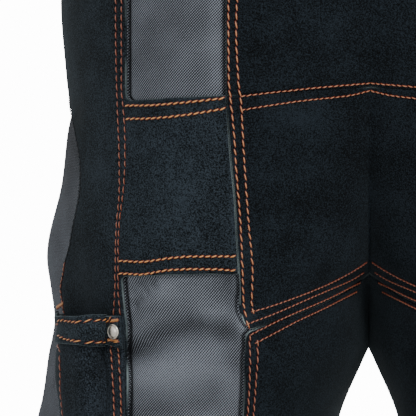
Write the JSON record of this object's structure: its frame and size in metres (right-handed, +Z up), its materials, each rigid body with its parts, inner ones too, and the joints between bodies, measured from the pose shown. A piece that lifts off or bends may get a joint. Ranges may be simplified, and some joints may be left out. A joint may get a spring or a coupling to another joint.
{
  "type": "farrier apron",
  "caption": "Split-leg farrier apron in its worn shape: grey twill legs under stitched suede panels, a knife pocket with a riveted band, a waist belt and thigh straps.",
  "frame": {"origin": "middle of the waist belt's loop, halfway up the belt, where a wearer's waist holds it", "axes": "+Z up, front of the garment towards -Y, the wearer's right leg (with the knife pocket) towards -X"},
  "size_m": [0.3756, 0.2231, 0.826],
  "materials": {
    "grey_twill": "matt heavy twill, blue-grey",
    "suede": "napped split leather, near-black teal",
    "webbing": "woven polyester webbing, black",
    "moulded_plastic": "moulded, black, satin",
    "nickel": "nickel-plated, worn"
  },
  "bodies": {
    "root": {"yoke_right": "grey_twill", "yoke_left": "grey_twill", "thigh_right": "grey_twill", "thigh_left": "grey_twill", "shin_right": "grey_twill", "shin_left": "grey_twill", "side_right": "suede", "side_left": "suede", "patch_right": "suede", "lap_upper": "suede", "lap_middle": "suede", "lower_right": "suede", "lower_left": "suede", "waistband": "suede", "pocket_front": "suede", "pocket_band": "suede", "pocket_rivet": "nickel", "belt_right": "webbing", "belt_left": "webbing", "belt_socket": "moulded_plastic", "belt_plug": "moulded_plastic", "strap_outer_right": "webbing", "strap_inner_right": "webbing", "strap_right_socket": "moulded_plastic", "strap_right_plug": "moulded_plastic", "strap_outer_left": "webbing", "strap_inner_left": "webbing", "strap_left_socket": "moulded_plastic", "strap_left_plug": "moulded_plastic"}
  },
  "joints": []
}
